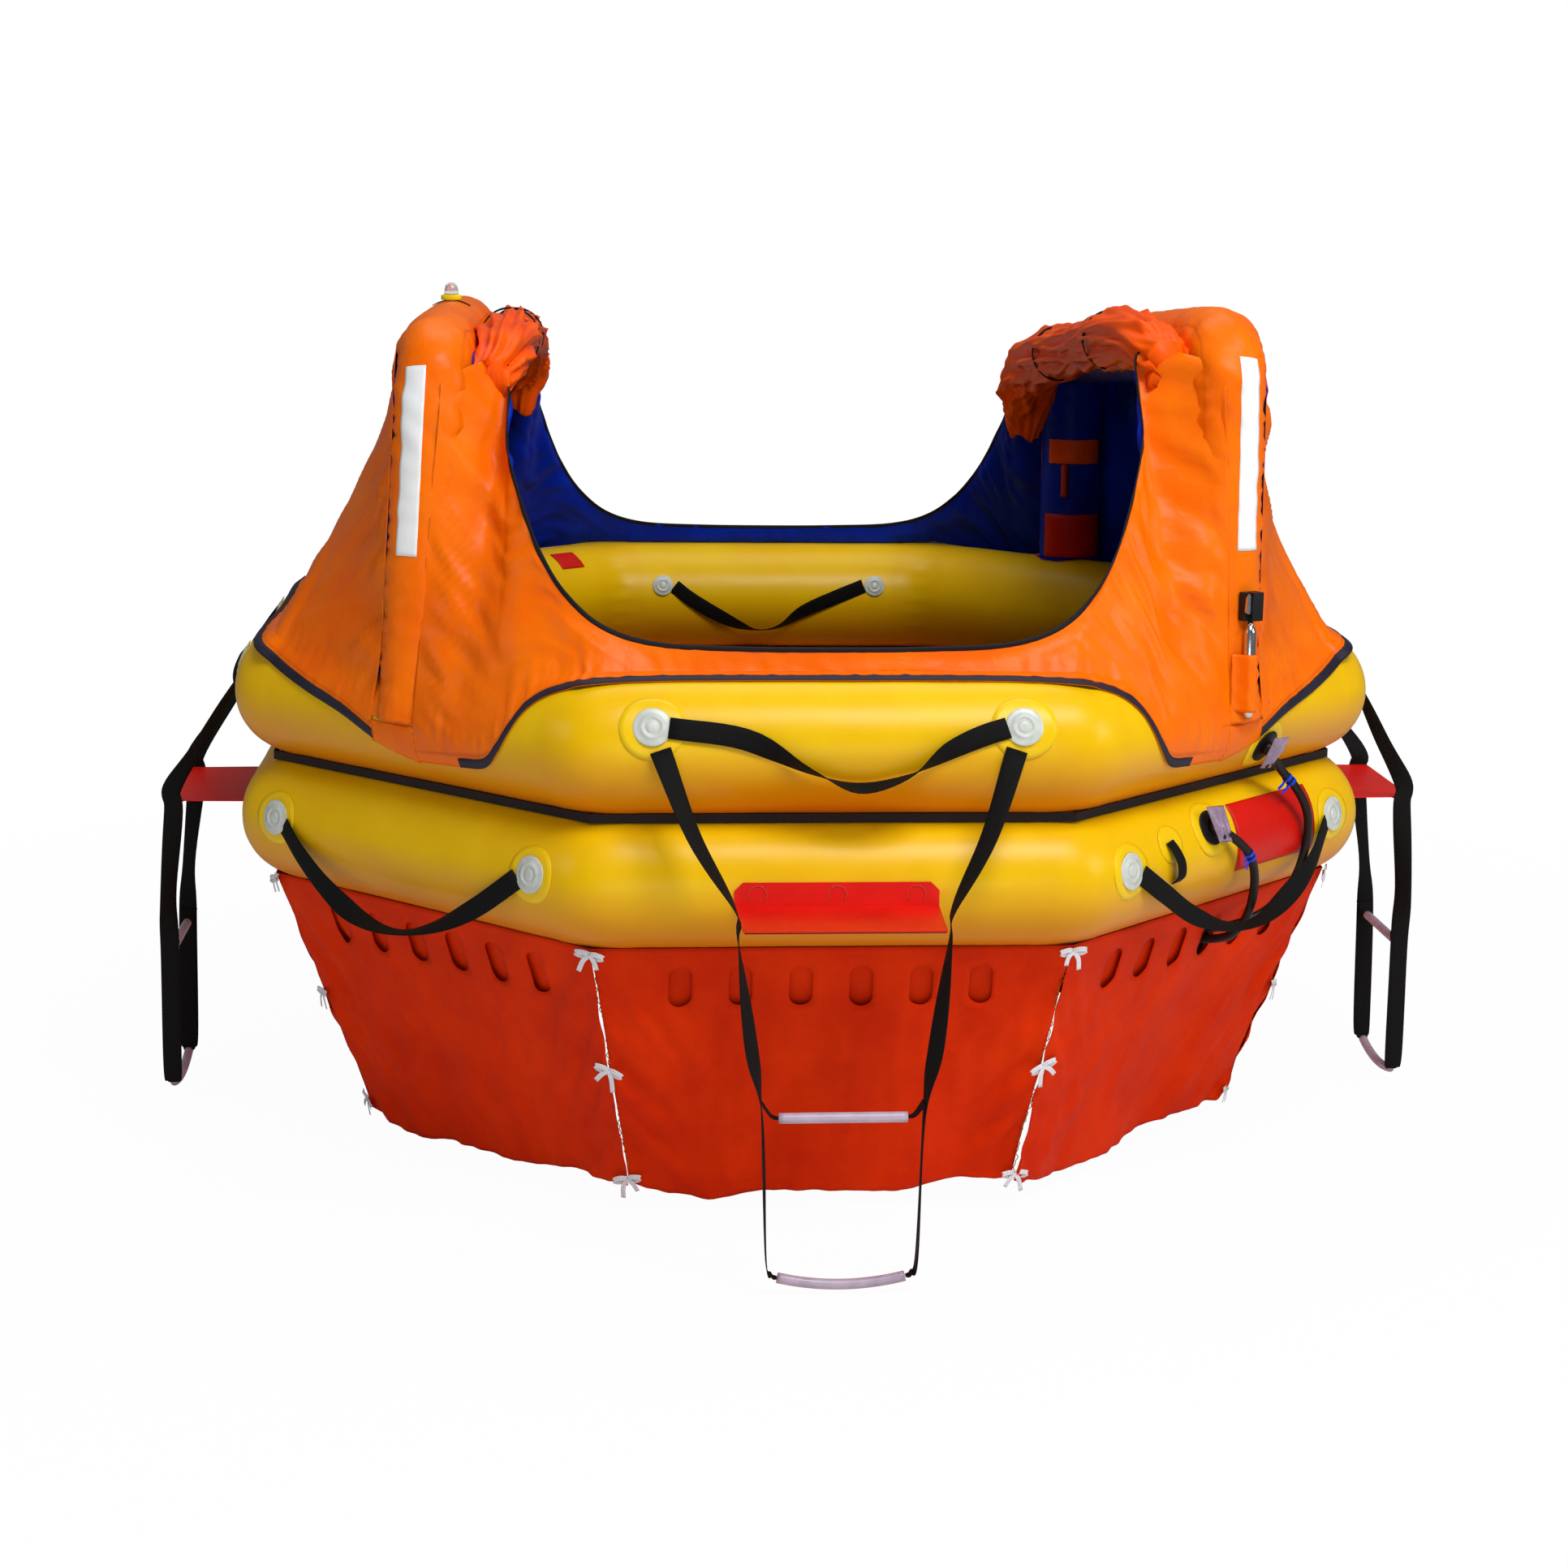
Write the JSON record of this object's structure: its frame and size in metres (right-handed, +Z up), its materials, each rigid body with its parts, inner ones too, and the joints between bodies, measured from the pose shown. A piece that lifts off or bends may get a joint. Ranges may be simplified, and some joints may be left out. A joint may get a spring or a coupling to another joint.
{
  "type": "inflatable liferaft",
  "caption": "Inflated octagonal liferaft with stacked buoyancy tubes, canopy rolled open on arches, laced ballast skirt, lifelines and boarding ladders.",
  "frame": {"origin": "centre of the tube ring, on the plane that the lower tube's underside touches", "axes": "+X to the raft's right, +Y to its back, +Z up"},
  "size_m": [3.1116, 3.1116, 1.9764],
  "materials": {
    "black_plastic": "satin",
    "black_webbing": "matte",
    "brass_valve": "polished",
    "canopy_fabric": "satin",
    "chrome_steel": "polished",
    "cover_film": "satin",
    "cylinder_paint": "gloss",
    "edge_tape": "matte",
    "floor_fabric": "matte",
    "hose_rubber": "satin",
    "joint_tape": "matte",
    "knife_handle": "satin",
    "label_film": "satin",
    "lacing_cord": "matte",
    "lens_plastic": "gloss",
    "moulded_patch": "satin",
    "pin_steel": "satin",
    "reflective_film": "satin",
    "rung_plastic": "matte",
    "skirt_fabric": "satin",
    "step_fabric": "satin",
    "tie_plastic": "gloss",
    "tube_fabric": "satin",
    "valve_rubber": "matte",
    "white_tape": "matte",
    "yellow_plastic": "satin"
  },
  "bodies": {
    "raft": {"arch_left": "canopy_fabric", "arch_right": "canopy_fabric", "canopy_back": "canopy_fabric", "canopy_corner_flaps": "canopy_fabric", "canopy_edge_tape": "edge_tape", "canopy_front": "canopy_fabric", "canopy_left": "canopy_fabric", "canopy_right": "canopy_fabric", "canopy_roll_left": "canopy_fabric", "canopy_roll_right": "canopy_fabric", "canopy_roll_straps": "black_webbing", "cylinder_valve": "brass_valve", "floor": "floor_fabric", "gas_cylinder": "cylinder_paint", "hose_ties": "tie_plastic", "inflator_body": "black_plastic", "inflator_cartridge": "chrome_steel", "inflator_pin": "pin_steel", "inflator_pocket": "canopy_fabric", "inner_label": "label_film", "inner_lifeline": "black_webbing", "inner_patches": "moulded_patch", "joint_tape": "joint_tape", "knife_pocket": "canopy_fabric", "ladder_patches": "moulded_patch", "ladder_rungs": "rung_plastic", "ladder_steps": "step_fabric", "ladder_webbing": "black_webbing", "leg_label": "label_film", "lifeline_patches": "moulded_patch", "lower_hose": "hose_rubber", "lower_lifelines": "black_webbing", "lower_tube": "tube_fabric", "opening_binding_back": "edge_tape", "opening_binding_front": "edge_tape", "painter_loop": "black_webbing", "reflective_strips": "reflective_film", "safety_knife": "knife_handle", "sea_light_base": "yellow_plastic", "sea_light_lens": "lens_plastic", "sea_light_strap": "black_webbing", "side_label": "label_film", "skirt_flaps": "skirt_fabric", "skirt_lacing": "lacing_cord", "skirt_panels": "skirt_fabric", "skirt_ties": "white_tape", "upper_hose": "hose_rubber", "upper_lifelines": "black_webbing", "upper_tube": "tube_fabric", "valve_bases": "valve_rubber", "valve_covers": "cover_film", "valve_fittings": "black_plastic"},
    "inflator_lever": {"inflator_lever": "chrome_steel"}
  },
  "joints": [
    {"name": "lever_hinge", "type": "hinge", "parent": "raft", "child": "inflator_lever", "pos_m": [0.91428, -0.98036, 0.696], "axis": [0.4512, -0.8924, 0], "range_deg": [0, 110]}
  ]
}
